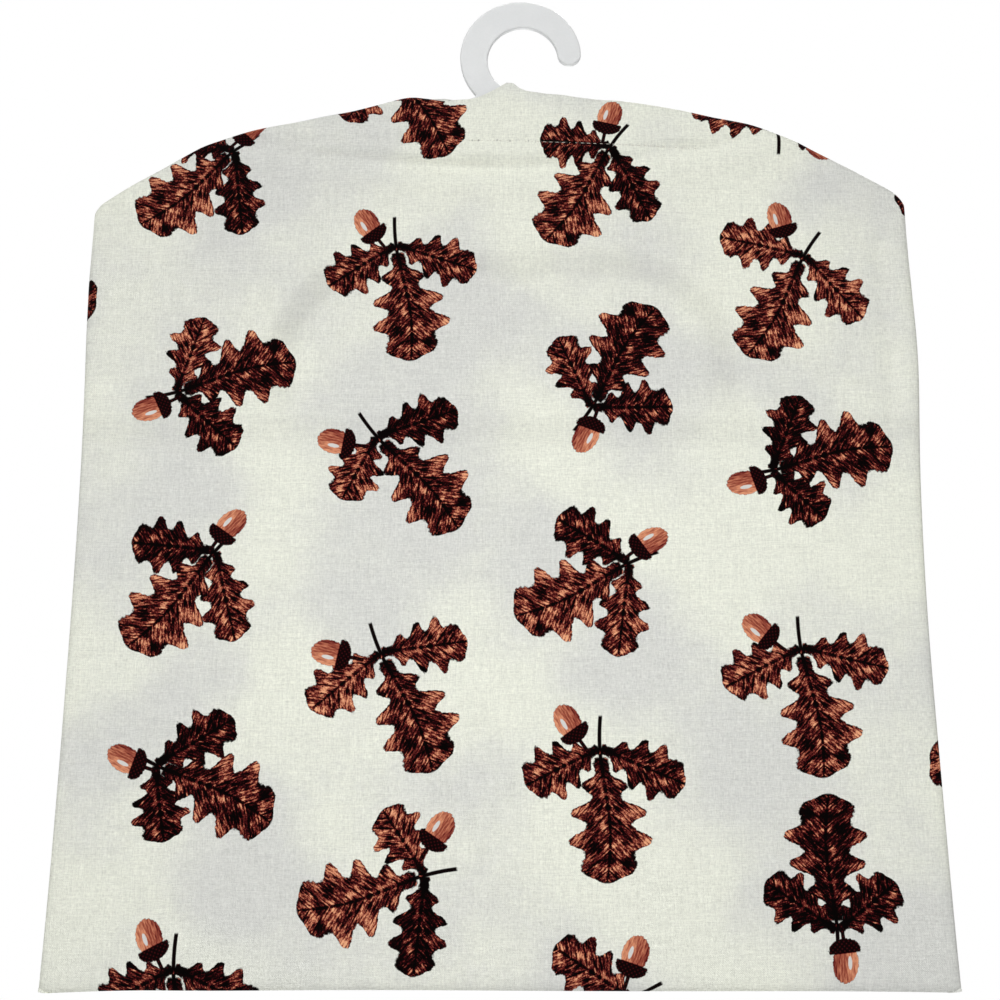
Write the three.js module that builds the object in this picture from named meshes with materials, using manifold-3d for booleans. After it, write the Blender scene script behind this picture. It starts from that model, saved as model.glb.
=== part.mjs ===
// A cloth peg bag hung on a one-piece flat plastic hanger. Millimetres, +Z up.
// The origin is the crown of the hook's inner edge, where a line or rail bears.
// The plain back panel faces -Y, and the panel with the hand opening faces +Y.
import * as THREE from 'three';
import { mergeVertices } from 'three/addons/utils/BufferGeometryUtils.js';
import Module from 'manifold-3d';

// Hook: a flat band bent round a line, open to the right, narrower at its tip
const hookInnerRadius = 15.4;
const hookRootBand = 12;
const hookCrownBand = 12.5;
const hookTipBand = 10.2;
const hookTipAngle = 8;
const hookOuterRootAngle = 220;
const hookInnerRootAngle = 238;
const hookOffset = 10;

// Hanger: the neck under the hook and two arms that fall along the bag's shoulders
const hangerThickness = 2;
const hangerEdgeRound = 0.5;
const neckRise = 2.1;
const neckFootLeft = 5.5;
const neckFootRight = 12;
const armCentreDepth = 24;
const armTipDepth = 12;
const armTaperReach = 75;
const armTipBulge = 10;
const armTipClearance = 2;

// Bag: the outline of the sewn panels
const bagHeight = 370;
const shoulderHalfWidth = 173;
const shoulderSlope = 0.05;
const shoulderCurl = 41.9;
const shoulderPower = 2.7;
const shoulderCornerRound = 5;
const bottomFlare = 3.5;
const flarePower = 4;
const clothThickness = 0.8;

// Hand opening in the front, and the pocket panel below it
const mouthTopFall = 83.5;
const mouthHalfWidth = 88;
const mouthCornerRadius = 40;
const pocketTopFall = 148;
const yokeOverlap = 20;
const lipGape = 12;
const pocketBelly = 16;
const pocketColumns = 20;
const pocketRows = 14;

// Tapes, facing and seam allowances
const tapeThickness = 0.5;
const archBindingWidth = 10;
const hemWidth = 14;
const hemEndInset = 1.5;
const facingHalfWidth = 88;
const facingDepth = 26;
const facingThickness = 0.5;
const shoulderSeamDepth = 2.5;
const seamAllowance = 6;
const sideSeamTopFall = 57;
const sideSeamRows = 14;

// Clearances: between layers that touch, and round the hook as the bag is lifted
const layerGap = 0.3;
const neckClearance = 1;

// Sampling of the curved edges
const shoulderSteps = 18;
const sideSteps = 10;
const arcSegments = 12;
const leastEdge = 0.05;

const wasm = await Module();
wasm.setup();
const degrees = THREE.MathUtils.degToRad;

// Layers through the bag, from the back to the front
const facingFront = -hangerThickness / 2 - layerGap;
const facingBack = facingFront - facingThickness;
const backInside = facingBack - layerGap;
const backOutside = backInside - clothThickness;
const yokeInside = hangerThickness / 2 + layerGap;
const yokeOutside = yokeInside + clothThickness;
const pocketInside = yokeOutside + layerGap + tapeThickness + layerGap;

// Places worked out from the hook downwards
const hookOuterRadius = hookInnerRadius + (hookRootBand + hookTipBand) / 2;
const hookOuterShift = (hookRootBand - hookTipBand) / 2;
const hookCentre = new THREE.Vector2(0, -hookInnerRadius);
const hookOuterCentre = new THREE.Vector2(-hookOuterShift, hookCrownBand - hookOuterRadius);
const outerRoot = onCircle(hookOuterCentre, hookOuterRadius, hookOuterRootAngle);
const innerRoot = onCircle(hookCentre, hookInnerRadius, hookInnerRootAngle);
const armTop = outerRoot.y - neckRise;
const bagTop = armTop + layerGap + shoulderSeamDepth;
const bagCentre = -hookOffset;
const cornerFall = shoulderFall(shoulderHalfWidth);
const yokeBottomFall = pocketTopFall + yokeOverlap;
const armTipReach = shoulderHalfWidth - seamAllowance - armTipClearance;
const armEnd = armTipReach - armTipBulge / 2;
const neckLeft = -hookOuterShift - hookOuterRadius - neckClearance - bagCentre;
const neckRight = innerRoot.x + neckFootRight + neckClearance - bagCentre;

function onCircle(centre, radius, angle) {
  const turn = degrees(angle);
  return new THREE.Vector2(centre.x + radius * Math.cos(turn), centre.y + radius * Math.sin(turn));
}

// How far the shoulder line lies below the bag's top, at x from the bag's centreline
function shoulderFall(x) {
  const reach = Math.abs(x);
  return shoulderSlope * reach + shoulderCurl * (reach / shoulderHalfWidth) ** shoulderPower;
}

// Half the bag's width at a level, which flares a little towards the bottom
function halfWidth(fall) {
  const share = THREE.MathUtils.clamp((fall - cornerFall) / (bagHeight - cornerFall), 0, 1);
  return shoulderHalfWidth + bottomFlare * share ** flarePower;
}

// A point of the XZ plane, from its distance to the bag's centreline and its fall below the top
function place(x, fall) {
  return new THREE.Vector2(bagCentre + x, bagTop - fall);
}

// Points along the shoulder line from one x to another, lowered by a depth
function shoulderRun(fromX, toX, depth) {
  const points = [];
  for (let i = 0; i <= shoulderSteps; i++) {
    const x = THREE.MathUtils.lerp(fromX, toX, i / shoulderSteps);
    points.push(place(x, shoulderFall(x) + depth));
  }
  return points;
}

// Points down one side of the bag; side is 1 on the right and -1 on the left
function sideRun(side, fromFall, toFall) {
  const points = [];
  for (let i = 0; i <= sideSteps; i++) {
    const fall = THREE.MathUtils.lerp(fromFall, toFall, i / sideSteps);
    points.push(place(side * halfWidth(fall), fall));
  }
  return points;
}

function follow(shape, points) {
  for (const point of points) shape.lineTo(point.x, point.y);
}

// The same outline as plain points, without those that lie on their neighbour where two curves meet
function withoutRepeats(shape) {
  const points = shape.getPoints(arcSegments);
  const next = (i) => points[(i + 1) % points.length];
  return new THREE.Shape(points.filter((point, i) => point.distanceTo(next(i)) > leastEdge));
}

// A flat shape of the XZ plane given a thickness between two Y values
function plate(shape, fromY, toY) {
  const options = { depth: toY - fromY, bevelEnabled: false, curveSegments: arcSegments };
  const geometry = new THREE.ExtrudeGeometry(shape, options);
  geometry.rotateX(Math.PI / 2);
  geometry.translate(0, toY, 0);
  return geometry;
}

// Starts a panel outline at the foot of its left side and runs it over both shoulders to the right foot
function startPanel(bottomFall) {
  const shape = new THREE.Shape();
  const rounded = shoulderHalfWidth - shoulderCornerRound;
  const roundedFall = cornerFall + shoulderCornerRound;
  const leftCorner = place(-shoulderHalfWidth, cornerFall);
  const rightCorner = place(shoulderHalfWidth, cornerFall);
  const leftStart = place(-rounded, shoulderFall(rounded));
  const rightEnd = place(shoulderHalfWidth, roundedFall);
  const leftSide = sideRun(-1, roundedFall, bottomFall).reverse();
  shape.moveTo(leftSide[0].x, leftSide[0].y);
  follow(shape, leftSide.slice(1));
  shape.quadraticCurveTo(leftCorner.x, leftCorner.y, leftStart.x, leftStart.y);
  follow(shape, shoulderRun(-rounded, 0, 0).slice(1));
  follow(shape, shoulderRun(0, rounded, 0).slice(1));
  shape.quadraticCurveTo(rightCorner.x, rightCorner.y, rightEnd.x, rightEnd.y);
  follow(shape, sideRun(1, roundedFall, bottomFall).slice(1));
  return shape;
}

// Runs round the hand opening from its right foot to its left foot, widened by an offset
function followMouth(shape, footFall, offset) {
  const half = mouthHalfWidth + offset;
  const radius = mouthCornerRadius + offset;
  const top = mouthTopFall - offset;
  const foot = place(half, footFall);
  const rightCentre = place(half - radius, top + radius);
  const leftCentre = place(radius - half, top + radius);
  const end = place(-half, footFall);
  shape.lineTo(foot.x, foot.y);
  shape.absarc(rightCentre.x, rightCentre.y, radius, 0, Math.PI / 2, false);
  shape.absarc(leftCentre.x, leftCentre.y, radius, Math.PI / 2, Math.PI, false);
  shape.lineTo(end.x, end.y);
}

// The plain back panel, whole from shoulder to bottom
function backPanel() {
  const shape = startPanel(bagHeight);
  shape.closePath();
  return plate(shape, backOutside, backInside);
}

// The upper front panel, cut away round the hand opening
function frontYoke() {
  const shape = startPanel(yokeBottomFall);
  followMouth(shape, yokeBottomFall, 0);
  shape.closePath();
  return plate(shape, yokeInside, yokeOutside);
}

// How far the pocket panel stands out of its plane, at a share of its half width and of its height
function pocketCrown(across, down) {
  const gape = lipGape * (1 - down);
  const belly = pocketBelly * 4 * down * (1 - down);
  return (1 - across ** 2) * (gape + Math.max(belly, 0));
}

// A sheet that follows the pocket panel between two levels and two distances from its inner face
function pocketSheet(fromFall, toFall, fromDepth, toDepth, endInset, rows) {
  const geometry = new THREE.BoxGeometry(1, 1, 1, pocketColumns, 1, rows);
  const position = geometry.getAttribute('position');
  for (let i = 0; i < position.count; i++) {
    const fall = THREE.MathUtils.lerp(fromFall, toFall, 0.5 - position.getZ(i));
    const depth = THREE.MathUtils.lerp(fromDepth, toDepth, position.getY(i) + 0.5);
    const x = 2 * position.getX(i) * (halfWidth(fall) - endInset);
    const across = x / halfWidth(fall);
    const down = Math.max((fall - pocketTopFall) / (bagHeight - pocketTopFall), 0);
    const spot = place(x, fall);
    position.setXYZ(i, spot.x, pocketInside + pocketCrown(across, down) + depth, spot.y);
  }
  return geometry;
}

// The lower front panel: sewn in at its sides and bottom, free along its top edge
function frontPocket() {
  return pocketSheet(pocketTopFall, bagHeight, 0, clothThickness, 0, pocketRows);
}

// The hem tape folded over the pocket's top edge
function pocketHem() {
  const fold = layerGap + tapeThickness;
  const bottom = pocketTopFall + hemWidth;
  const slotBottom = bottom + hemWidth;
  const top = pocketTopFall - fold;
  const slotTop = pocketTopFall - layerGap;
  const band = pocketSheet(top, bottom, -fold, clothThickness + fold, hemEndInset, 1);
  const slot = pocketSheet(slotTop, slotBottom, -layerGap, clothThickness + layerGap, 0, 1);
  return cut(band, slot);
}

// The binding folded over the cut edge of the hand opening
function archBinding() {
  const fold = layerGap + tapeThickness;
  const foot = yokeBottomFall;
  const slotFoot = foot + archBindingWidth;
  const band = archBand(foot, archBindingWidth, -fold);
  const slot = archBand(slotFoot, archBindingWidth * 2, -layerGap);
  const folded = plate(band, yokeInside - fold, yokeOutside + fold);
  const yokeSlot = plate(slot, yokeInside - layerGap, yokeOutside + layerGap);
  return cut(folded, yokeSlot);
}

// A band round the hand opening between two offsets from its cut edge
function archBand(footFall, outer, inner) {
  const shape = new THREE.Shape();
  const start = place(mouthHalfWidth + outer, footFall);
  shape.moveTo(start.x, start.y);
  followMouth(shape, footFall, outer);
  const hole = new THREE.Shape();
  const holeStart = place(mouthHalfWidth + inner, footFall);
  hole.moveTo(holeStart.x, holeStart.y);
  followMouth(hole, footFall, inner);
  follow(shape, hole.getPoints(arcSegments).reverse());
  shape.closePath();
  return shape;
}

// The strip stitched inside the back panel, across the gap that the hook comes through
function neckFacing() {
  const depth = shoulderSeamDepth + layerGap;
  const top = shoulderRun(-facingHalfWidth, facingHalfWidth, depth);
  const left = place(-facingHalfWidth, facingDepth);
  const right = place(facingHalfWidth, facingDepth);
  const shape = new THREE.Shape([left, ...top, right]);
  return plate(shape, facingBack, facingFront);
}

// The seam allowance along one shoulder, which sits on the hanger's arm
function shoulderSeam(fromX, toX) {
  const upper = shoulderRun(fromX, toX, 0);
  const lower = shoulderRun(toX, fromX, shoulderSeamDepth);
  return plate(new THREE.Shape([...upper, ...lower]), backInside + layerGap, yokeInside - layerGap);
}

// The seam allowance down one side: it fills out to the pocket below the foot of the yoke
function sideSeam(side) {
  const geometry = new THREE.BoxGeometry(1, 1, 1, 1, 1, sideSeamRows);
  const position = geometry.getAttribute('position');
  const step = yokeBottomFall + layerGap;
  for (let i = 0; i < position.count; i++) {
    const row = Math.round((0.5 - position.getZ(i)) * sideSeamRows);
    const fall = sideSeamFall(row, step);
    const x = side * (halfWidth(fall) - seamAllowance * (0.5 - side * position.getX(i)));
    const front = fall < step ? yokeInside : pocketInside;
    const y = position.getY(i) < 0 ? backInside + layerGap : front - layerGap;
    const spot = place(x, fall);
    position.setXYZ(i, spot.x, y, spot.y);
  }
  return geometry;
}

// Levels of the side seam's rows: the step out to the pocket takes one short row
function sideSeamFall(row, step) {
  const upperRows = Math.floor(sideSeamRows / 3);
  const bottom = bagHeight - seamAllowance - layerGap;
  if (row <= upperRows) return THREE.MathUtils.lerp(sideSeamTopFall, step - layerGap, row / upperRows);
  const share = (row - upperRows - 1) / (sideSeamRows - upperRows - 1);
  return THREE.MathUtils.lerp(step, bottom, share);
}

// The seam allowance along the bottom, between the back panel and the pocket
function bottomSeam() {
  const upperFall = bagHeight - seamAllowance;
  const upper = halfWidth(upperFall);
  const lower = halfWidth(bagHeight);
  const corners = [
    place(-lower, bagHeight),
    place(lower, bagHeight),
    place(upper, upperFall),
    place(-upper, upperFall),
  ];
  return plate(new THREE.Shape(corners), backInside + layerGap, pocketInside - layerGap);
}

// The depth of the hanger below its top edge, deepest under the neck
function armDepth(x) {
  const slim = THREE.MathUtils.smoothstep(Math.abs(x), 0, armTaperReach);
  return THREE.MathUtils.lerp(armCentreDepth, armTipDepth, slim);
}

// Points along the hanger's lower edge
function armUnderside() {
  const seat = shoulderSeamDepth + layerGap;
  const points = [];
  for (let i = 0; i <= 2 * shoulderSteps; i++) {
    const x = THREE.MathUtils.lerp(-armEnd, armEnd, i / (2 * shoulderSteps));
    points.push(place(x, shoulderFall(x) + seat + armDepth(x)));
  }
  return points;
}

// The hanger's tip: a round end from one edge of an arm to the other
function followTip(shape, side, end) {
  const start = shape.currentPoint;
  const control = place(side * (armEnd + armTipBulge), 0);
  shape.quadraticCurveTo(control.x, (start.y + end.y) / 2, end.x, end.y);
}

// Hook, neck and arms, cut in one piece with eased edges
function hanger() {
  const seat = shoulderSeamDepth + layerGap;
  const leftFoot = outerRoot.x - neckFootLeft - bagCentre;
  const rightFoot = innerRoot.x + neckFootRight - bagCentre;
  const leftTop = shoulderRun(leftFoot, -armEnd, seat);
  const underside = armUnderside();
  const rightTop = shoulderRun(armEnd, rightFoot, seat);
  const tipCentre = onCircle(hookCentre, hookInnerRadius + hookTipBand / 2, hookTipAngle);
  const tipTurn = degrees(hookTipAngle);
  const outerTurn = degrees(hookOuterRootAngle);
  const rootTangent = degrees(hookInnerRootAngle) + Math.PI / 2;
  const rightEnd = rightTop[rightTop.length - 1];
  const reach = neckFootRight / 3;

  const shape = new THREE.Shape();
  shape.absarc(hookOuterCentre.x, hookOuterCentre.y, hookOuterRadius, tipTurn, outerTurn, false);
  shape.quadraticCurveTo(outerRoot.x + neckRise, armTop, leftTop[0].x, leftTop[0].y);
  follow(shape, leftTop.slice(1));
  followTip(shape, -1, underside[0]);
  follow(shape, underside.slice(1));
  followTip(shape, 1, rightTop[0]);
  follow(shape, rightTop.slice(1));
  shape.bezierCurveTo(
    rightEnd.x - reach,
    rightEnd.y,
    innerRoot.x + reach * Math.cos(rootTangent),
    innerRoot.y + reach * Math.sin(rootTangent),
    innerRoot.x,
    innerRoot.y,
  );
  shape.absarc(hookCentre.x, hookCentre.y, hookInnerRadius, degrees(hookInnerRootAngle), tipTurn, true);
  shape.absarc(tipCentre.x, tipCentre.y, hookTipBand / 2, tipTurn + Math.PI, tipTurn + 2 * Math.PI, false);

  const geometry = new THREE.ExtrudeGeometry(withoutRepeats(shape), {
    depth: hangerThickness - 2 * hangerEdgeRound,
    bevelThickness: hangerEdgeRound,
    bevelSize: hangerEdgeRound,
    bevelOffset: -hangerEdgeRound,
    bevelSegments: 2,
  });
  geometry.rotateX(Math.PI / 2);
  geometry.translate(0, hangerThickness / 2 - hangerEdgeRound, 0);
  return geometry;
}

// A geometry as a solid that can be cut
function solidOf(geometry) {
  geometry.deleteAttribute('normal');
  geometry.deleteAttribute('uv');
  const merged = mergeVertices(geometry);
  const mesh = new wasm.Mesh({
    numProp: 3,
    vertProperties: merged.getAttribute('position').array,
    triVerts: new Uint32Array(merged.index.array),
  });
  return new wasm.Manifold(mesh);
}

// One geometry with another taken out of it
function cut(geometry, tool) {
  const mesh = solidOf(geometry).subtract(solidOf(tool)).getMesh();
  const result = new THREE.BufferGeometry();
  result.setAttribute('position', new THREE.BufferAttribute(mesh.vertProperties, 3));
  result.setIndex(new THREE.BufferAttribute(mesh.triVerts, 1));
  return result;
}

const whitePlastic = { color: 0xe4e8ea, roughness: 0.38, metalness: 0 };
const printedCotton = { color: 0xdddfd5, roughness: 0.9, metalness: 0 };
const cottonTape = { color: 0xd9d2bf, roughness: 0.85, metalness: 0 };

const pegBag = new THREE.Group();

function add(name, geometry, finish) {
  const mesh = new THREE.Mesh(geometry, new THREE.MeshStandardMaterial(finish));
  mesh.name = name;
  pegBag.add(mesh);
}

add('hanger', hanger(), whitePlastic);
add('back_panel', backPanel(), printedCotton);
add('front_yoke', frontYoke(), printedCotton);
add('front_pocket', frontPocket(), printedCotton);
add('arch_binding', archBinding(), cottonTape);
add('pocket_hem', pocketHem(), cottonTape);
add('neck_facing', neckFacing(), printedCotton);
add('left_shoulder_seam', shoulderSeam(-shoulderHalfWidth, neckLeft), printedCotton);
add('right_shoulder_seam', shoulderSeam(neckRight, shoulderHalfWidth), printedCotton);
add('left_side_seam', sideSeam(-1), printedCotton);
add('right_side_seam', sideSeam(1), printedCotton);
add('bottom_seam', bottomSeam(), printedCotton);

export default pegBag;
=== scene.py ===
import math

import bpy
import numpy as np
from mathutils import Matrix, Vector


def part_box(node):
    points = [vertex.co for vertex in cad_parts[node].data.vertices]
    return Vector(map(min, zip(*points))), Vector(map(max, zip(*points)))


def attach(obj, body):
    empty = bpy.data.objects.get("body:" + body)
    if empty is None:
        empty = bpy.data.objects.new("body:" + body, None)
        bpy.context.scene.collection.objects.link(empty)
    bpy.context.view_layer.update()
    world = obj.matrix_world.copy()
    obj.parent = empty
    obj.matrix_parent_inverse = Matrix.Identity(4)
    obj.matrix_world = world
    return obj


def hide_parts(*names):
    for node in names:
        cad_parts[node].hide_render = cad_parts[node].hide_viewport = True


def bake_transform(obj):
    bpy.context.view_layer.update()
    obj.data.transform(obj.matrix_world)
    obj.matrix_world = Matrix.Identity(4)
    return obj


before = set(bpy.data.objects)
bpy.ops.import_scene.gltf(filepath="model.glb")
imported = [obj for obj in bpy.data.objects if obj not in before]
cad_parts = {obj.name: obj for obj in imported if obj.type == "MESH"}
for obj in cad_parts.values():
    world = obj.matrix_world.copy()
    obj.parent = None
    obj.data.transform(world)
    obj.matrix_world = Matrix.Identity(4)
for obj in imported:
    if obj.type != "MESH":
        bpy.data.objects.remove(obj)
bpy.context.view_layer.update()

MM = 0.001
panel_low, panel_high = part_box("back_panel")
bag_centre = (panel_low.x + panel_high.x) / 2
bag_top = panel_high.z
bag_height = (panel_high.z - panel_low.z) / MM

# Outline of the sewn panels
shoulder_half = 173.0
shoulder_slope = 0.05
shoulder_drop = 41.9
shoulder_power = 2.7
corner_fall = 50.55
bottom_flare = 3.5
mouth_top = 83.5
mouth_half = 88.0
mouth_round = 40.0
pocket_top = 148.0
pocket_rest = 4.0
lip_gape = 12.0
pocket_belly = 16.0
yoke_bottom = 168.0
neck_left = -18.4
neck_right = 14.8
pocket_tuck = 1.1
top_roll = 3.6
side_roll = 5.0

# Thicknesses and seams
cloth_thick = 0.6
tape_thick = 0.5
tape_gap = 0.08
tape_rise = cloth_thick / 2 + tape_thick + tape_gap
allowance_thick = 0.6
allowance_depth = 0.3
seam_gap = 0.03
lip_hold = 0.05
yoke_foot_hold = 0.3
hang_frames = 24
stitch_pitch = 2.7
stitch_length = 1.9
thread_round = 0.17
neck_row_start = -20.0
neck_row_end = 87.0
neck_row_fall = 24.0
neck_row_drop = 0.035

# Hanger
hook_inner = 15.4
hook_outer = 26.5
hook_outer_x = -0.9
hook_outer_z = -14.0
hook_tip_half = 5.1
hook_tip_turn = math.radians(8)
hook_outer_end = math.radians(220)
hook_inner_end = math.radians(238)
hanger_half = 1.0
hanger_round = 0.6
hanger_face_inset = 0.5
arm_seat = 2.8
arm_end = 160.0
arm_tip_swell = 10.0

# Print and weave, in millimetres
sprig_pitch_x = 82.0
sprig_pitch_y = 84.0
cotton_pitch = 0.42
tape_pitch = 0.6


def bell(value, middle, spread):
    """A smooth hump of height 1 round a middle value."""
    return np.exp(-0.5 * ((value - middle) / spread) ** 2)


def ease(low, high, value):
    """0 below low, 1 above high, smooth between."""
    t = np.clip((value - low) / (high - low), 0, 1)
    return t * t * (3 - 2 * t)


def roll(distance, radius):
    """The rise of cloth that rolls over an edge, from 0 at the edge to 1 a radius inside it."""
    t = 1 - np.clip(distance / radius, 0, 1)
    return np.sqrt(np.maximum(1 - t * t, 0))


def between(x, table):
    """A line through a table of (x, value) pairs, with its corners rounded off."""
    places = [place for place, _ in table]
    values = [value for _, value in table]
    reach = 3.0
    steps = np.linspace(-reach, reach, 9)
    weights = 1 + np.cos(math.pi * steps / (1.25 * reach))
    near = [weight * np.interp(x + step, places, values) for step, weight in zip(steps, weights)]
    return sum(near) / weights.sum()


def lerp(a, b, t):
    """The value a share t of the way from a to b."""
    return a + (b - a) * t


# How much lower than a plain curve the sewn shoulders hang, and the back's edge at the neck
shoulder_sag = [
    (-173, 0.2), (-168, 1.4), (-146, 1.4), (-136, 0.5), (-128, -0.4), (-116, 0), (-105, 0.9),
    (-95, 1.9), (-85, 2.8), (-65, 2.8), (-57, 2), (-49, 0.9), (-42, -0.2), (-38, -0.4), (-33, 0.8),
    (-27, 1.3), (27, 0.1), (34, 0.9), (44, 1.2), (50, 0.7), (92, 0.9), (97, 0.5), (108, -0.5),
    (118, -0.5), (128, 0), (134, 0.8), (143, 1.3), (158, 1.4), (163, 1), (173, 0.1),
]
neck_ride = [
    (-32, 0), (-23, 1.9), (-17, 3.1), (-13, 3.2), (-9.6, 2.7), (-5.2, 0.9), (0, -1.6), (2.6, -3.6),
    (5, -4.8), (7.9, -1.1), (10.5, 0), (13, 0.5), (16, 0.5), (21, -0.1), (30, 0),
]

# Waves of the sewn sides: height, fall and spread
left_waves = [(1.0, 95, 28), (-0.5, 190, 50)]
right_waves = [(2.0, 118, 26), (-0.9, 225, 40)]

# Folds along the swag: height, distance below its line, width, then their middle and spread in x
swag_folds = [
    (1.2, -2, 15, -4, 80),
    (1.3, -6.5, 3.6, -14, 72),
    (-2.1, 0, 2.3, -8, 72),
    (1.4, 7.5, 4.2, 0, 74),
]

# Creases: height, start and end as (x, fall), and width
back_creases = [
    (-0.55, (122, 52), (109, 86), 1.6),
    (0.4, (117, 52), (103, 90), 4),
    (-0.4, (-150, 250), (-118, 330), 2.6),
    (-0.35, (-120, 305), (-60, 352), 2.4),
    (0.3, (70, 240), (150, 300), 5),
]
yoke_creases = [
    (-0.5, (-132, 56), (-100, 92), 2.2),
    (-0.45, (128, 54), (104, 96), 2.4),
]


def shoulder_curve(reach):
    """How far the shoulder's plain curve falls at a distance from the centreline."""
    return shoulder_slope * reach + shoulder_drop * (reach / shoulder_half) ** shoulder_power


def plain_shoulder(x):
    """The sewn shoulder line, which turns down at its corners."""
    reach = np.abs(x)
    corner = 3.0 * np.clip((reach - 162) / 11, 0, 1.3) ** 4
    return shoulder_curve(reach) + corner - 0.01 * x + between(x, shoulder_sag) - 0.3


def back_shoulder(x):
    """The back's top edge: slack left of the hook and ridden up to the right of it."""
    return plain_shoulder(x) + between(x, neck_ride)


def bottom_edge(x):
    """The sewn bottom, which drops a little towards its corners."""
    reach = np.abs(x)
    corner_drop = 1.0 * (reach / 176) ** 4
    corner_round = 2.2 * np.clip((reach - 169) / 8, 0, 1) ** 2
    left_rise = 0.6 * bell(x, -145, 18)
    return bag_height - 0.1 + corner_drop + 0.2 * np.sin(x / 37) - left_rise - corner_round


def side_edge(fall, side):
    """Half the bag's width at a level on one side, with the slight waves of its sewn edge."""
    share = np.clip((fall - corner_fall) / (bag_height - corner_fall), 0, 1)
    line = shoulder_half + bottom_flare * share**4
    for height, middle, spread in right_waves if side > 0 else left_waves:
        line = line + height * bell(fall, middle, spread)
    return line


def half_width(x, fall):
    """Half the bag's width at a level, on the side where x lies."""
    return np.where(x > 0, side_edge(fall, 1), side_edge(fall, -1))


def edge_distance(x, fall):
    """How far a spot lies inside the nearer side edge."""
    return half_width(x, fall) - np.abs(x)


def arm_depth(x):
    """How deep the hanger's arms are below their top edge."""
    return 24 - 12 * ease(0, 75, np.abs(x))


def arm_cover(x, fall):
    """1 where the cloth lies over the hanger's arms, 0 below them."""
    low = plain_shoulder(x) + arm_seat + arm_depth(x)
    return (1 - ease(low - 4, low + 7, fall)) * (1 - ease(156, 168, np.abs(x)))


def neck_open(x):
    """1 in the gap that the hook comes through, 0 along the sewn shoulders."""
    return ease(neck_left - 7, neck_left + 1, x) * (1 - ease(neck_right - 1, neck_right + 9, x))


def neck_row_line(x):
    """The row of stitches that holds the neck's facing."""
    return neck_row_fall + neck_row_drop * np.maximum(x, 0)


def swag_line(x):
    """The fold that hangs below the neck's stitch row."""
    return 36.0 - 8.0 * ((x + 4) / 87) ** 2


def arch_distance(x, fall):
    """Distance from the cut edge of the hand opening, positive outside it."""
    across = np.maximum(np.abs(x) - (mouth_half - mouth_round), 0)
    up = np.maximum(mouth_top + mouth_round - fall, 0)
    return np.hypot(across, up) - mouth_round


def slack(x, fall, turn):
    """The soft unevenness of hung cotton."""
    a = np.sin(x / 31 + 0.8 * np.sin(fall / 57 + turn) + turn)
    b = np.sin(fall / 43 + 0.7 * np.sin(x / 61 - turn) + 2 * turn)
    c = np.sin((x + 0.6 * fall) / 23 + 3 * turn)
    return 0.45 * a + 0.4 * b + 0.18 * c


def crease(x, fall, start, end, width):
    """A straight crease between two spots that dies away at its ends."""
    ax, af = start
    dx = end[0] - ax
    df = end[1] - af
    length = math.hypot(dx, df)
    along = ((x - ax) * dx + (fall - af) * df) / length
    across = ((x - ax) * df - (fall - af) * dx) / length
    ends = ease(-12, 10, along) * (1 - ease(length - 10, length + 12, along))
    return bell(across, 0, width) * ends


def roll_over_top(top, x):
    """The rise of cloth over the shoulder seam; at the neck it stays open and doesn't roll in."""
    over = roll(top, top_roll)
    return over + (1 - over) * neck_open(x)


def back_face(x, fall):
    """Depth of the back's outer face, which faces -Y."""
    side = edge_distance(x, fall)
    bottom = bottom_edge(x) - fall
    top = fall - back_shoulder(x)
    lift = 2.4 + 0.6 * arm_cover(x, fall)
    for height, below, width, middle, spread in swag_folds:
        lift = lift + height * bell(fall, swag_line(x) + below, width) * bell(x, middle, spread)
    stitch_dip = 0.75 * bell(fall, neck_row_line(x), 1.4) * (1 - ease(80, 110, np.abs(x)))
    unevenness = 0.35 * slack(x, fall, 0.7) * ease(40, 90, fall)
    arch_ridge = 0.45 * bell(arch_distance(x, fall), 5, 3.2) * (1 - ease(140, 152, fall))
    lip_ridge = 0.4 * bell(fall, 150 + 0.02 * x, 3.0) * (1 - 0.7 * bell(x, 0, 70))
    upper_side = ease(55, 80, fall) * (1 - ease(130, 165, fall))
    right_dip = 1.0 * bell(side, 12, 3.0) * upper_side * (x > 0)
    lift = lift - stitch_dip + unevenness + arch_ridge + lip_ridge - right_dip
    for height, start, end, width in back_creases:
        lift = lift + height * crease(x, fall, start, end, width)
    lift = lift - 0.3 * bell(fall, 277 + 2 * np.sin(x / 60), 1.8) * (0.6 + 0.4 * np.sin(x / 28))
    pucker = 0.22 * np.sin(fall / 1.9 + 1.7 * np.sin(fall / 9)) * bell(side, 3.5, 2.5)
    edges = roll(side, side_roll) * roll(bottom, 6.5) * roll_over_top(top, x)
    return -seam_gap - (lift + pucker) * edges


def under_pocket(fall):
    """How far the yoke's sides are tucked in where the pocket lies over them."""
    return pocket_tuck * ease(138, 147, fall)


def yoke_face(x, fall):
    """Depth of the yoke's outer face, which faces +Y."""
    side = edge_distance(x, fall) - under_pocket(fall)
    top = fall - plain_shoulder(x)
    lift = 2.3 + 0.6 * arm_cover(x, fall)
    lift = lift + 0.3 * slack(x, fall, 2.1) * ease(30, 70, fall) * (1 - ease(128, 146, fall))
    for height, start, end, width in yoke_creases:
        lift = lift + height * crease(x, fall, start, end, width)
    lift = lift - 0.35 * bell(fall, swag_line(x) + 2, 3.0) * bell(x, 0, 70)
    return seam_gap + lift * roll(side, side_roll) * roll_over_top(top, x)


def pocket_flat(x, fall):
    """Depth of the pocket's outer face with no slack in it."""
    edges = roll(edge_distance(x, fall), 6.0) * roll(bottom_edge(x) - fall, 8.0)
    return seam_gap + pocket_rest * edges


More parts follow.
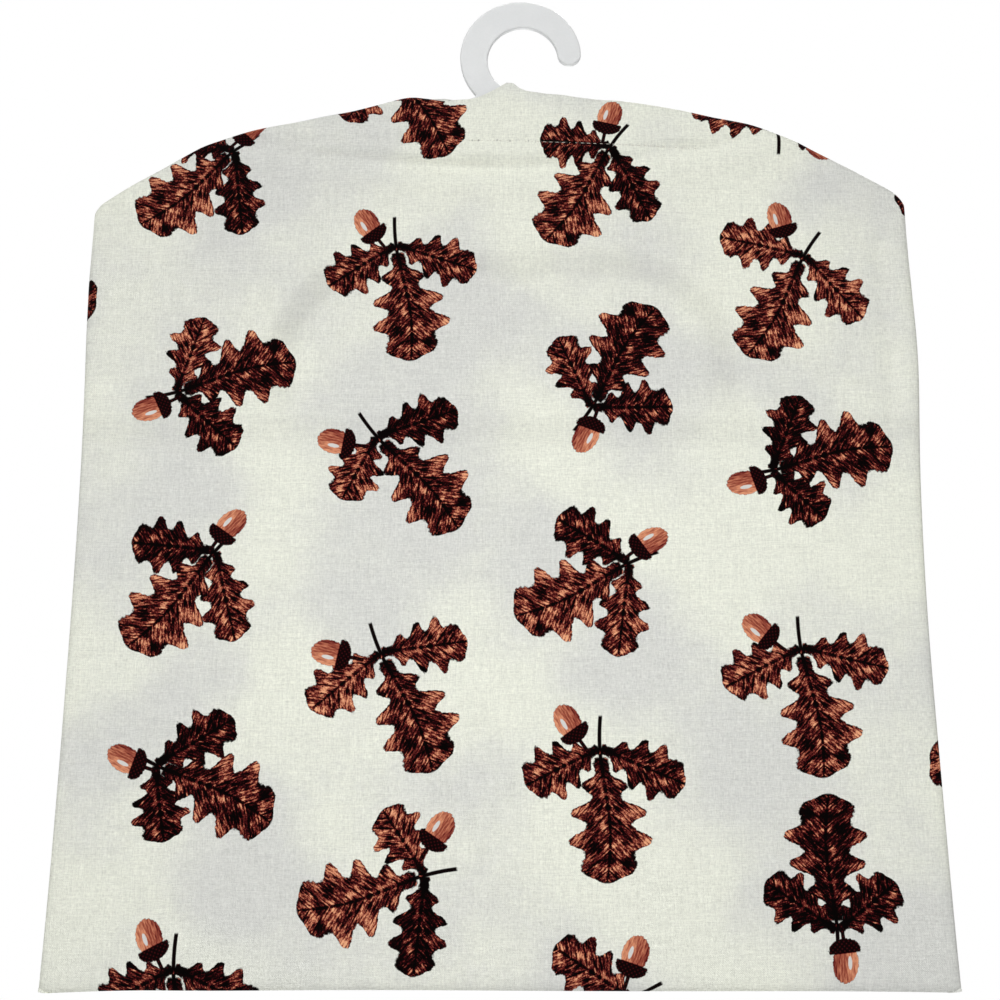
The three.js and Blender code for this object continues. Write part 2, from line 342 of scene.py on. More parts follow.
def pocket_face(x, fall):
    """Depth of the pocket's outer face: it gapes at the lip and bellies out below."""
    across = np.clip(x / half_width(x, fall), -1, 1)
    down = np.clip((fall - pocket_top) / (bottom_edge(x) - pocket_top), 0, 1)
    crown = (1 - across**2) * (lip_gape * (1 - down) + pocket_belly * 4 * down * (1 - down))
    return pocket_flat(x, fall) * (1 + crown / pocket_rest)


def face_normal(face, x, fall, outward):
    """Unit normals of a cloth face, pointing out of the bag, as (x, y, fall)."""
    step = 0.02
    inward = np.where(x > 0, -1.0, 1.0) * step
    rise = np.where(fall > 200, -1.0, 1.0) * step
    base = face(x, fall)
    slope_x = (face(x + inward, fall) - base) / inward
    slope_fall = (face(x, fall + rise) - base) / rise
    normal = np.stack([-slope_x, np.ones_like(x), -slope_fall], axis=-1) * outward
    return normal / np.linalg.norm(normal, axis=-1, keepdims=True)


def in_place(points):
    """Cloth coordinates in millimetres to object space in metres."""
    places = np.empty_like(points)
    places[..., 0] = bag_centre + points[..., 0] * MM
    places[..., 1] = points[..., 1] * MM
    places[..., 2] = bag_top - points[..., 2] * MM
    return places


def make_mesh(name, places, faces, face_slots, cloth_map, slots):
    """A smooth mesh object; cloth_map holds the flat cloth coordinate of each vertex."""
    mesh = bpy.data.meshes.new(name)
    mesh.from_pydata(places.tolist(), [], [list(face) for face in faces])
    for slot in slots:
        mesh.materials.append(slot)
    mesh.polygons.foreach_set("material_index", np.asarray(face_slots, dtype=np.int32))
    mesh.polygons.foreach_set("use_smooth", np.ones(len(faces), dtype=bool))
    if cloth_map is not None:
        corners = np.empty(len(mesh.loops), dtype=np.int32)
        mesh.loops.foreach_get("vertex_index", corners)
        layer = mesh.uv_layers.new(name="Cloth")
        layer.uv.foreach_set("vector", cloth_map[corners].astype(np.float32).ravel())
    mesh.validate()
    mesh.set_sharp_from_angle(angle=math.radians(48))
    piece = bpy.data.objects.new(name, mesh)
    bpy.context.scene.collection.objects.link(piece)
    return piece


def grid_quads(index):
    """The four corners of each cell of a grid of vertex numbers."""
    corners = [index[:-1, :-1], index[1:, :-1], index[1:, 1:], index[:-1, 1:]]
    return np.stack(corners, axis=-1).reshape(-1, 4)


# Drape of the front


def spline_shares(t):
    """How much each of four neighbours counts, a share t of the way between the middle two."""
    first = (1 - t) ** 3 / 6
    second = (3 * t**3 - 6 * t**2 + 4) / 6
    third = (-3 * t**3 + 3 * t**2 + 3 * t + 1) / 6
    return (first, second, third, t**3 / 6)


class HungSheet:
    """A front panel hung by cloth simulation; its cloth, tape and thread move with it."""

    columns = 89

    def __init__(self, name, rows, top, bottom, face, nearest, holds, sewn_row):
        self.rows = rows
        self.sewn_row = sewn_row
        self.top = top
        self.bottom = bottom
        u, v = np.meshgrid(np.linspace(-1, 1, self.columns), np.linspace(0, 1, rows))
        level = top(u * shoulder_half)
        fall = level + v * (bottom(u * shoulder_half) - level)
        x = u * half_width(u, fall)
        start = np.stack([x, face(x, fall), fall], axis=-1)
        self.move = np.zeros_like(start)
        self.move = self.hang(name, start, holds)
        self.move[..., 1] = np.maximum(self.move[..., 1], nearest(x, fall) - start[..., 1])

    def hang(self, name, start, holds):
        """Lets a grid of points hang from its held rows and sewn sides; returns how far each moves."""
        index = np.arange(self.rows * self.columns).reshape(self.rows, self.columns)
        mesh = bpy.data.meshes.new(name)
        mesh.from_pydata(in_place(start).reshape(-1, 3).tolist(), [], grid_quads(index).tolist())
        sheet = bpy.data.objects.new(name, mesh)
        bpy.context.scene.collection.objects.link(sheet)
        seams = sheet.vertex_groups.new(name="seams")
        for rows, weight in holds:
            seams.add(index[rows].ravel().tolist(), weight, "REPLACE")
        seams.add(np.concatenate([index[:, 0], index[:, -1]]).tolist(), 1.0, "REPLACE")
        hang = sheet.modifiers.new("hang", "CLOTH")
        cotton = hang.settings
        cotton.quality = 8
        cotton.mass = 0.01
        cotton.tension_stiffness = 20
        cotton.compression_stiffness = 20
        cotton.shear_stiffness = 8
        cotton.bending_stiffness = 0.35
        cotton.air_damping = 2
        cotton.shrink_min = -0.009
        cotton.vertex_group_mass = "seams"
        cotton.effector_weights.gravity = 0.6
        hang.collision_settings.use_collision = False
        hang.point_cache.frame_end = hang_frames
        for moment in range(1, hang_frames + 1):
            bpy.context.scene.frame_set(moment)
        hung = sheet.evaluated_get(bpy.context.evaluated_depsgraph_get())
        end = np.empty(start.size)
        hung.data.vertices.foreach_get("co", end)
        move = (end.reshape(start.shape) - in_place(start)) / MM
        move[..., 2] = -move[..., 2]
        bpy.data.objects.remove(sheet)
        bpy.data.meshes.remove(mesh)
        bpy.context.scene.frame_set(1)
        return move

    def settle(self, points):
        """Moves points given in cloth coordinates with the hung sheet; its sewn edges stay put."""
        field = np.pad(self.move, ((1, 1), (1, 1), (0, 0)), mode="edge")
        field[:, 0] = -field[:, 2]
        field[:, -1] = -field[:, -3]
        if self.sewn_row == 0:
            field[0] = -field[2]
        else:
            field[-1] = -field[-3]
        x, fall = points[..., 0], points[..., 2]
        half = half_width(x, fall)
        level = self.top(x)
        down = np.clip((fall - level) / (self.bottom(x) - level), 0, 1) * (self.rows - 1)
        across = (np.clip(x / half, -1, 1) + 1) / 2 * (self.columns - 1)
        row = np.minimum(down.astype(int), self.rows - 2)
        column = np.minimum(across.astype(int), self.columns - 2)
        moved = points.copy()
        for i, row_share in enumerate(spline_shares(down - row)):
            for j, column_share in enumerate(spline_shares(across - column)):
                moved += field[row + i, column + j] * (row_share * column_share)[..., None]
        return moved


def lip_level(x):
    """The pocket's free top edge."""
    return np.full_like(x, pocket_top)


def yoke_foot(x):
    """The yoke's lower edge, behind the pocket."""
    return np.full_like(x, yoke_bottom)


def yoke_nearest(x, fall):
    """The least depth of the yoke's outer face, which leaves room for the hanger inside."""
    rolled = roll(edge_distance(x, fall), side_roll) * roll(fall - plain_shoulder(x), top_roll)
    return seam_gap + 2.0 * rolled


# Held rows with their strength: the lip and the yoke's foot are free to move, the seams aren't
pocket_holds = [(slice(0, 4), lip_hold), (slice(-1, None), 1.0)]
hung_pocket = HungSheet(
    "pocket_sheet", 57, lip_level, bottom_edge, pocket_face, pocket_flat, pocket_holds, sewn_row=-1
)
yoke_holds = [(slice(-8, None), yoke_foot_hold), (slice(0, 1), 1.0)]
hung_yoke = HungSheet(
    "yoke_sheet", 43, plain_shoulder, yoke_foot, yoke_face, yoke_nearest, yoke_holds, sewn_row=0
)


# Sewing


def sew_cloth(name, points, quads, flat, slots):
    """A cloth of outer points, then as many inner ones, closed by a rim along its open edges.

    The outer side takes the first slot and the inner side the last one.
    """
    total = len(points) // 2
    edges = {}
    for quad in quads.tolist():
        for a, b in zip(quad, quad[1:] + quad[:1]):
            edges[(a, b)] = True
    rim = [(b, a, a + total, b + total) for a, b in edges if (b, a) not in edges]
    faces = quads.tolist() + (quads[:, ::-1] + total).tolist() + rim
    face_slots = [0] * len(quads) + [len(slots) - 1] * len(quads) + [0] * len(rim)
    cloth_map = np.concatenate([flat, flat]) * MM
    return make_mesh(name, in_place(points), faces, face_slots, cloth_map, slots)


def sew_panel(name, patches, face, outward, map_shift, slots, settle=None):
    """A panel of cloth with thickness, from patches of (x, fall) spots that share their edges."""
    spots = np.concatenate([patch.reshape(-1, 2) for patch in patches])
    keys = np.round(spots * 1000).astype(np.int64)
    _, first, number = np.unique(keys, axis=0, return_index=True, return_inverse=True)
    number = number.reshape(-1)
    spots = spots[first]
    quads = []
    start = 0
    for patch in patches:
        count = patch.shape[0] * patch.shape[1]
        quads.append(grid_quads(number[start : start + count].reshape(patch.shape[:2])))
        start += count
    quads = np.concatenate(quads)
    if outward > 0:
        quads = quads[:, ::-1]
    x, fall = spots.T
    outer = np.stack([x, face(x, fall), fall], axis=-1)
    inner = outer - cloth_thick * face_normal(face, x, fall, outward)
    points = np.concatenate([outer, inner])
    if settle:
        points = settle(points)
    flat = np.stack([x + map_shift[0], map_shift[1] - fall], axis=-1)
    return sew_cloth(name, points, quads, flat, slots)


def run_lengths(points):
    """Length from the first point to each point of a line."""
    steps = np.linalg.norm(np.diff(points, axis=0), axis=1)
    return np.concatenate([[0], np.cumsum(steps)])


def sew_strip(name, points, thick, slot, map_shift=(0, 0)):
    """A strip of tape or cloth with thickness, from a grid of points along it and across it."""
    along = np.gradient(points, axis=0)
    across = np.gradient(points, axis=1)
    normal = np.cross(across, along)
    normal = normal / np.linalg.norm(normal, axis=-1, keepdims=True)
    inner = points - thick * normal
    rows, columns = points.shape[:2]
    quads = grid_quads(np.arange(rows * columns).reshape(rows, columns))
    run = run_lengths(points[:, 0]) + map_shift[1]
    wide = run_lengths(points[0]) + map_shift[0]
    flat = np.stack(np.meshgrid(wide, run), axis=-1).reshape(-1, 2)
    both = np.concatenate([points.reshape(-1, 3), inner.reshape(-1, 3)])
    return sew_cloth(name, both, quads, flat, [slot])


def sew_stitches(name, spots, normals, sink):
    """A row of short thread stitches along a line of spots that lie one pitch apart."""
    sides = 6
    corners = [2 * math.pi * k / sides for k in range(sides)]
    rings = [(-0.5, 0.25), (-0.36, 0.85), (0.0, 1.0), (0.36, 0.85), (0.5, 0.25)]
    places = []
    faces = []
    for i in range(len(spots) - 1):
        run = spots[i + 1] - spots[i]
        middle = (spots[i + 1] + spots[i]) / 2
        run = run / np.linalg.norm(run)
        up = normals[i] - run * np.dot(normals[i], run)
        up = up / np.linalg.norm(up)
        cross = np.cross(run, up)
        start = len(places)
        for share, size in rings:
            arch = 0.5 * thread_round * (1 - 4 * share * share)
            centre = middle + run * share * stitch_length + up * (arch - sink)
            for turn in corners:
                out = math.cos(turn) * cross + math.sin(turn) * up
                places.append(centre + size * thread_round * out)
        for ring in range(len(rings) - 1):
            for k in range(sides):
                a = start + ring * sides + k
                b = start + ring * sides + (k + 1) % sides
                faces.append((a, b, b + sides, a + sides))
        faces.append(tuple(start + k for k in reversed(range(sides))))
        faces.append(tuple(start + (len(rings) - 1) * sides + k for k in range(sides)))
    return make_mesh(name, in_place(np.array(places)), faces, [0] * len(faces), None, [thread])


def along_line(points, pitch):
    """The same line as points one pitch apart."""
    lengths = run_lengths(points)
    marks = np.arange(0, lengths[-1], pitch)
    return np.stack([np.interp(marks, lengths, values) for values in points.T], axis=-1)


# Finishes


def paint(red, green, blue):
    """A colour seen on screen, 0 to 255, as the linear colour that a shader takes."""
    linear = []
    for value in (red, green, blue):
        share = value / 255
        linear.append(share / 12.92 if share <= 0.04045 else ((share + 0.055) / 1.055) ** 2.4)
    return (*linear, 1)


class Board:
    """Places and wires nodes in one node tree."""

    def __init__(self, tree):
        self.tree = tree

    def put(self, kind, **settings):
        """Adds a node with its settings."""
        node = self.tree.nodes.new(kind)
        for key, value in settings.items():
            setattr(node, key, value)
        return node

    def feed(self, socket, value):
        """Wires a socket to another one, or sets its value."""
        if isinstance(value, bpy.types.NodeSocket):
            self.tree.links.new(value, socket)
        else:
            socket.default_value = value

    def math(self, operation, *values):
        """One sum of a Math node."""
        node = self.put("ShaderNodeMath", operation=operation)
        for socket, value in zip(node.inputs, values):
            self.feed(socket, value)
        return node.outputs[0]

    def times(self, first, *others):
        """All the values multiplied."""
        for other in others:
            first = self.math("MULTIPLY", first, other)
        return first

    def length(self, x, y):
        """How far (x, y) lies from (0, 0)."""
        squares = self.math("ADD", self.math("POWER", x, 2.0), self.math("POWER", y, 2.0))
        return self.math("SQRT", squares)

    def swing(self, value, width):
        """A value between 0 and 1 as an offset that swings over a width, half to each side."""
        return self.math("MULTIPLY_ADD", value, width, -width / 2)

    def ramp(self, value, low, high, kind="SMOOTHSTEP", out_low=0.0, out_high=1.0):
        """A value that goes from out_low to out_high between low and high, and stays level beyond."""
        node = self.put("ShaderNodeMapRange", interpolation_type=kind)
        names = ("Value", "From Min", "From Max", "To Min", "To Max")
        for name, entry in zip(names, (value, low, high, out_low, out_high)):
            self.feed(node.inputs[name], entry)
        return node.outputs["Result"]

    def join(self, x, y, z=0.0):
        """A vector of three values."""
        node = self.put("ShaderNodeCombineXYZ")
        for socket, value in zip(node.inputs, (x, y, z)):
            self.feed(socket, value)
        return node.outputs[0]

    def split(self, vector):
        """The three values of a vector."""
        node = self.put("ShaderNodeSeparateXYZ")
        self.feed(node.inputs[0], vector)
        return node.outputs

    def noise(self, vector, scale, detail=2.0, roughness=0.5):
        """A noise from 0 to 1."""
        node = self.put("ShaderNodeTexNoise")
        self.feed(node.inputs["Vector"], vector)
        node.inputs["Scale"].default_value = scale
        node.inputs["Detail"].default_value = detail
        node.inputs["Roughness"].default_value = roughness
        return node.outputs["Fac"]

    def mix(self, share, a, b, blend="MIX"):
        """A share of colour b over colour a."""
        node = self.put("ShaderNodeMix", data_type="RGBA", blend_type=blend)
        self.feed(node.inputs["Factor"], share)
        self.feed(node.inputs[6], a)
        self.feed(node.inputs[7], b)
        return node.outputs[2]

    def colours(self, value, stops):
        """A colour read off a ramp of (place, colour) stops."""
        node = self.put("ShaderNodeValToRGB")
        self.feed(node.inputs[0], value)
        elements = node.color_ramp.elements
        while len(elements) < len(stops):
            elements.new(0.5)
        for element, (place, colour) in zip(elements, stops):
            element.position = place
            element.color = colour
        return node.outputs["Color"]

    def curve(self, value, points):
        """A height read off a smooth curve."""
        node = self.put("ShaderNodeFloatCurve")
        self.feed(node.inputs["Value"], value)
        line = node.mapping.curves[0]
        while len(line.points) < len(points):
            line.points.new(0.5, 0.5)
        for point, (place, height) in zip(line.points, points):
            point.location = (place, height)
        node.mapping.update()
        return node.outputs["Value"]

    def use(self, group, **values):
        """Places a node group; returns its outputs."""
        node = self.put("ShaderNodeGroup", node_tree=group)
        for name, value in values.items():
            self.feed(node.inputs[name.replace("_", " ")], value)
        return node.outputs


def new_group(name, inputs, outputs):
    """An empty node group with named sockets; returns it, its board, its inputs and its outputs."""
    group = bpy.data.node_groups.new(name, "ShaderNodeTree")
    for label, kind in inputs:
        group.interface.new_socket(name=label, in_out="INPUT", socket_type=kind)
    for label, kind in outputs:
        group.interface.new_socket(name=label, in_out="OUTPUT", socket_type=kind)
    board = Board(group)
    entry = board.put("NodeGroupInput")
    out = board.put("NodeGroupOutput")
    return group, board, entry.outputs, out.inputs


FLOAT = "NodeSocketFloat"
VECTOR = "NodeSocketVector"
COLOUR = "NodeSocketColor"


def leaf_group():
    """One painted oak leaf that grows along +Y from (0, 0): how much ink, and how pale it is."""
    group, b, given, out = new_group(
        "Painted Leaf",
        [("Point", VECTOR), ("Length", FLOAT), ("Half Width", FLOAT), ("Paleness", FLOAT)],
        [("Ink", FLOAT), ("Tone", FLOAT)],
    )
    x, y, _ = b.split(given["Point"])
    reach = b.math("ABSOLUTE", x)
    share = b.math("DIVIDE", y, given["Length"])
    lobes = [
        (0.0, 0.03), (0.07, 0.2), (0.13, 0.17), (0.24, 0.55), (0.32, 0.36), (0.45, 0.9),
        (0.54, 0.55), (0.67, 0.98), (0.76, 0.6), (0.87, 0.66), (0.95, 0.36), (1.0, 0.0),
    ]
    width = b.times(b.curve(share, lobes), given["Half Width"])
    wobble = b.swing(b.noise(given["Point"], 0.55, 3.0, 0.6), 3.2)
    inside = b.math("ADD", b.math("SUBTRACT", width, reach), wobble)
    blade = b.ramp(inside, -0.15, 0.45)
    foot = b.ramp(share, 0.0, 0.02)
    tip = b.ramp(share, 1.0, 0.985)
    vein = b.math("SUBTRACT", y, b.times(reach, 0.9))
    flow = b.math("ADD", y, reach)
    streak = b.noise(b.join(vein, b.times(flow, 0.16)), 1.0, 3.0, 0.65)
    patch = b.noise(given["Point"], 0.11, 2.0, 0.5)
    grit = b.noise(given["Point"], 1.5, 2.0, 0.7)
    rim_dark = b.ramp(inside, 0.0, 2.2, out_low=-0.1, out_high=0.05)
    tone = b.math("MULTIPLY_ADD", streak, 2.5, -0.92)
    for change in (b.swing(patch, 2.3), b.swing(grit, 1.1), rim_dark, given["Paleness"]):
        tone = b.math("ADD", tone, change)
    rib_edge = b.math("ADD", reach, b.times(share, 0.35))
    rib = b.ramp(rib_edge, 1.1, 0.45, out_high=0.45)
    side_rib = b.ramp(b.math("PINGPONG", vein, 3.6), 0.55, 0.15, out_high=0.28)
    tone = b.math("SUBTRACT", tone, b.math("MAXIMUM", rib, side_rib))
    b.feed(out["Ink"], b.times(blade, foot, tip))
    b.feed(out["Tone"], tone)
    return group


def acorn_group():
    """One painted acorn that hangs along -Y from the point (0, 0)."""
    group, b, given, out = new_group(
        "Painted Acorn",
        [("Point", VECTOR)],
        [("Ink", FLOAT), ("Tone", FLOAT), ("Shine", FLOAT)],
    )
    x, y, _ = b.split(given["Point"])
    wobble = b.swing(b.noise(given["Point"], 0.9, 2.0, 0.6), 0.5)

    def oval(centre_x, centre_y, wide, high):
        across = b.math("DIVIDE", b.math("SUBTRACT", x, centre_x), wide)
        along = b.math("DIVIDE", b.math("SUBTRACT", y, centre_y), high)
        square = b.math("ADD", b.math("POWER", across, 2.0), b.math("POWER", along, 2.0))
        return b.math("ADD", square, wobble)

    nut = b.ramp(oval(0.0, -9.0, 4.9, 7.4), 1.06, 0.94)
    cap = b.times(b.ramp(oval(0.0, -4.2, 6.2, 4.4), 1.06, 0.94), b.ramp(y, -5.6, -5.0))
    stalk = b.ramp(b.math("ABSOLUTE", x), 0.9, 0.6)
    stalk = b.times(stalk, b.ramp(y, -3.0, -2.0), b.ramp(y, 6.0, 5.0))
    cap = b.math("MAXIMUM", cap, stalk)
    streak = b.noise(b.join(b.times(x, 1.3), b.times(y, 0.22)), 1.0, 2.0, 0.6)
    nut_tone = b.math("ADD", b.math("MULTIPLY_ADD", streak, 0.8, 0.25), b.times(x, 0.03))
    rising = b.math("PINGPONG", b.math("ADD", x, y), 0.9)
    falling = b.math("PINGPONG", b.math("SUBTRACT", x, y), 0.9)
    cap_tone = b.math("MULTIPLY_ADD", b.times(rising, falling), 0.42, 0.08)
    change = b.math("SUBTRACT", cap_tone, nut_tone)
    b.feed(out["Ink"], b.math("MAXIMUM", nut, cap))
    b.feed(out["Tone"], b.math("MULTIPLY_ADD", change, cap, nut_tone))
    b.feed(out["Shine"], b.ramp(oval(1.7, -9.0, 0.8, 2.6), 1.1, 0.7))
    return group


def sprig_group(leaf, acorn):
    """Scattered oak sprigs, each turned its own way; every other column drops by half a pitch."""
    group, b, given, out = new_group(
        "Scattered Sprigs",
        [("Cloth", VECTOR)],
        [("Ink", FLOAT), ("Colour", COLOUR)],
    )
    x, y, _ = b.split(given["Cloth"])
    along = b.math("DIVIDE", x, sprig_pitch_x * MM)
    column = b.math("FLOOR", along)
    drop = b.times(b.math("MODULO", b.math("ABSOLUTE", column), 2.0), 0.5)
    down = b.math("ADD", b.math("DIVIDE", y, sprig_pitch_y * MM), drop)
    row = b.math("FLOOR", down)
    dice = b.put("ShaderNodeTexWhiteNoise", noise_dimensions="2D")
    b.feed(dice.inputs["Vector"], b.join(column, row))
    red, green, blue = b.split(dice.outputs["Color"])

    def from_middle(place, cell, pitch, chance):
        share = b.math("SUBTRACT", b.math("SUBTRACT", place, cell), 0.5)
        return b.math("ADD", b.times(share, pitch), b.swing(chance, 10.0))

    def turned(px, py, angle):
        node = b.put("ShaderNodeVectorRotate", rotation_type="Z_AXIS")
        b.feed(node.inputs["Vector"], b.join(px, py))
        b.feed(node.inputs["Angle"], angle)
        return node.outputs[0]

    def one_leaf(point, length, wide, chance, darkest):
        paleness = b.math("MULTIPLY_ADD", chance, 0.3, darkest)
        return b.use(leaf, Point=point, Length=length, Half_Width=wide, Paleness=paleness)

    local_x = from_middle(along, column, sprig_pitch_x, red)
    local_y = from_middle(down, row, sprig_pitch_y, green)
    turn = b.times(dice.outputs["Value"], 2 * math.pi)
    sprig_x, sprig_y, _ = b.split(turned(local_x, local_y, turn))
    bend = b.times(b.math("SINE", b.times(sprig_y, 0.09)), 1.6)
    sprig_x = b.math("ADD", sprig_x, bend)
    base_y = b.math("ADD", sprig_y, 15.0)
    lead_spot = b.join(sprig_x, b.math("SUBTRACT", base_y, 3.0))
    spread = b.math("MULTIPLY_ADD", blue, 0.35, 0.95)
    left_spot = turned(sprig_x, base_y, b.times(spread, -1.0))
    right_spot = turned(sprig_x, base_y, spread)
    left_length = b.math("MULTIPLY_ADD", red, 8.0, 31.0)
    right_length = b.math("MULTIPLY_ADD", green, 8.0, 30.0)
    lead = one_leaf(lead_spot, 48.5, 16.6, red, -0.13)
    left = one_leaf(left_spot, left_length, 12.0, green, -0.19)
    right = one_leaf(right_spot, right_length, 11.5, blue, -0.13)
    nut_x = b.math("SUBTRACT", sprig_x, b.math("MULTIPLY_ADD", blue, 10.0, 2.0))
    nut_turn = b.math("MULTIPLY_ADD", blue, -0.9, -0.1)
    nut = b.use(acorn, Point=turned(nut_x, b.math("ADD", base_y, 3.0), nut_turn))
    twig = b.ramp(b.math("ABSOLUTE", sprig_x), 0.95, 0.6)
    ink = b.times(twig, b.ramp(base_y, -13.0, -12.0), b.ramp(base_y, 6.0, 4.0))
    tone = 0.06
    for part in (left, right, nut, lead):
        change = b.math("SUBTRACT", part["Tone"], tone)
        tone = b.math("MULTIPLY_ADD", change, part["Ink"], tone)
        ink = b.math("MAXIMUM", ink, part["Ink"])
    inks = [
        (0.0, paint(3, 1, 1)),
        (0.18, paint(16, 3, 4)),
        (0.32, paint(52, 10, 13)),
        (0.46, paint(98, 28, 29)),
        (0.6, paint(156, 80, 62)),
        (0.78, paint(212, 140, 106)),
        (1.0, paint(236, 174, 132)),
    ]
    shine = b.times(nut["Shine"], b.math("SUBTRACT", 1.0, lead["Ink"]))
    b.feed(out["Ink"], ink)
    b.feed(out["Colour"], b.mix(shine, b.colours(tone, inks), paint(214, 212, 208)))
    return group


def weave_group():
    """Plain-woven cotton: the height of its threads, and where thicker slub threads run."""
    group, b, given, out = new_group(
        "Cotton Weave",
        [("Cloth", VECTOR), ("Thread Pitch", FLOAT)],
        [("Height", FLOAT), ("Slub", FLOAT)],
    )
    x, y, _ = b.split(given["Cloth"])

    def over_and_under(run):
        return b.math("SINE", b.times(b.math("DIVIDE", run, given["Thread Pitch"]), math.pi))

    def threads(fine, long, layer):
        warp_run = b.join(b.times(x, fine), b.times(y, long), layer)
        weft_run = b.join(b.times(x, long), b.times(y, fine), layer + 7.0)
        return b.math("ADD", b.noise(warp_run, 1.0, 2.0, 0.6), b.noise(weft_run, 1.0, 2.0, 0.6))

    crossings = b.times(over_and_under(x), over_and_under(y))
    short_threads = threads(2300.0, 480.0, 0.0)
    long_threads = threads(1200.0, 70.0, 3.0)
    slub = b.math("MULTIPLY_ADD", short_threads, 0.32, b.times(long_threads, 0.18))
    b.feed(out["Height"], b.math("MULTIPLY_ADD", crossings, 0.35, b.times(slub, 0.65)))
    b.feed(out["Slub"], slub)
    return group


def wash_group():
    """The uneven pale wash of the cloth: cream patches and greyer patches, with the threads' tone and
    painted shade over it.
    """
    group, b, given, out = new_group(
        "Mottled Wash",
        [("Cloth", VECTOR), ("Slub", FLOAT)],
        [("Colour", COLOUR)],
    )
    broad = b.noise(given["Cloth"], 13.0, 1.8, 0.45)
    drift = b.noise(given["Cloth"], 140.0, 3.0, 0.6)
    patch = b.ramp(b.math("ADD", broad, b.swing(drift, 0.1)), 0.37, 0.6)
    colour = b.mix(patch, paint(217, 218, 213), paint(234, 236, 223))
    # Partly the slub threads' own tone and partly painted shade and light of the threads: the colour
    # darkens and lightens along them
    thread = b.ramp(given["Slub"], 0.36, 0.64, "LINEAR", 0.79, 1.17)
    shade = b.join(thread, thread, thread)
    b.feed(out["Colour"], b.mix(1.0, colour, shade, "MULTIPLY"))
    return group


def start_finish(name):
    """A new material; returns it with its board and its Principled shader."""
    finish = bpy.data.materials.new(name)
    finish.use_nodes = True
    board = Board(finish.node_tree)
    shader = finish.node_tree.nodes["Principled BSDF"]
    return finish, board, shader


def cloth_spot(board):
    """Where a surface point lies on its flat cloth, in metres."""
    return board.put("ShaderNodeUVMap", uv_map="Cloth").outputs[0]


def bump(board, shader, height, strength, distance):
    """Raises the surface by a height map."""
    node = board.put("ShaderNodeBump")
    node.inputs["Strength"].default_value = strength
    node.inputs["Distance"].default_value = distance
    board.feed(node.inputs["Height"], height)
    board.feed(shader.inputs["Normal"], node.outputs[0])


def tape_shade(b, spot):
    """Painted shade on the thin back where the front's tapes lie behind it: along the arch and the
    pocket's lip.
    """
    x, y, _ = b.split(spot)
    fall = b.times(y, -1 / MM)
    reach = b.math("ABSOLUTE", b.math("DIVIDE", x, MM))
    across = b.math("MAXIMUM", b.math("SUBTRACT", reach, mouth_half - mouth_round), 0.0)
    up = b.math("MAXIMUM", b.math("SUBTRACT", mouth_top + mouth_round, fall), 0.0)
    waver = b.swing(b.noise(spot, 45.0, 2.0, 0.5), 6.0)
    outside = b.math("ADD", b.math("SUBTRACT", b.length(across, up), mouth_round), waver)
    arch = b.times(b.ramp(outside, -5.0, 2.0), b.ramp(outside, 13.0, 6.0))
    above_lip = b.ramp(fall, pocket_top + 2.0, pocket_top - 22.0)
    to_the_right = b.ramp(x, -0.08, 0.03, out_low=1.0, out_high=0.55)
    lip_fall = b.math("ADD", fall, waver)
    lip_start = b.ramp(lip_fall, pocket_top - 5.0, pocket_top)
    lip_end = b.ramp(lip_fall, pocket_top + 13.0, pocket_top + 4.0)
    return b.math("MAXIMUM", b.times(arch, above_lip, to_the_right), b.times(lip_start, lip_end, 0.4))


def needle_hole_shade(b, spot):
    """Painted shade in the small needle holes between the stitches of the neck's row."""
    x, y, _ = b.split(spot)
    across = b.math("DIVIDE", x, MM)
    marks = b.math("DIVIDE", b.math("SUBTRACT", across, neck_row_start), stitch_pitch)
    along = b.times(b.math("PINGPONG", marks, 0.5), stitch_pitch)
    line = b.math("MULTIPLY_ADD", b.math("MAXIMUM", across, 0.0), neck_row_drop, neck_row_fall)
    level = b.math("ADD", b.math("DIVIDE", y, MM), line)
    hole = b.ramp(b.length(along, level), 0.7, 0.25)
    row_start = b.ramp(across, neck_row_start - 1, neck_row_start)
    row_end = b.ramp(across, neck_row_end, neck_row_end - 1)
    fade = b.ramp(across, 20.0, 45.0, out_low=0.55, out_high=0.2)
    # Some holes' painted shade is fainter than others, at random
    uneven_holes = b.ramp(b.noise(spot, 300.0, 2.0, 0.5), 0.4, 0.62)
    return b.times(hole, uneven_holes, row_start, row_end, fade)


def printed_cotton(name, show, over_tapes=False):
    """Printed cloth: show is 1 on its printed face and less on its reverse."""
    finish, b, shader = start_finish(name)
    spot = cloth_spot(b)
    threads = b.use(weave, Cloth=spot, Thread_Pitch=cotton_pitch * MM)
    ground = b.use(wash, Cloth=spot, Slub=threads["Slub"])["Colour"]
    motif = b.use(sprigs, Cloth=spot)
    ink = b.times(motif["Ink"], show)
    if over_tapes:
        # Painted shade: a faint grey band on the back where the front's arch tape and pocket hem lie
        # behind it
        ground = b.mix(b.times(tape_shade(b, spot), 0.14), ground, paint(70, 66, 66))
    colour = b.mix(ink, ground, motif["Colour"])
    if over_tapes:
        # Painted shade: dark dots in the needle holes along the neck's stitch row
        colour = b.mix(needle_hole_shade(b, spot), colour, paint(78, 72, 68))
    b.feed(shader.inputs["Base Color"], colour)
    b.feed(shader.inputs["Roughness"], b.ramp(threads["Slub"], 0.3, 0.7, "LINEAR", 0.82, 0.95))
    shader.inputs["Specular IOR Level"].default_value = 0.03
    bump(b, shader, threads["Height"], 0.35, 0.00025)
    return finish


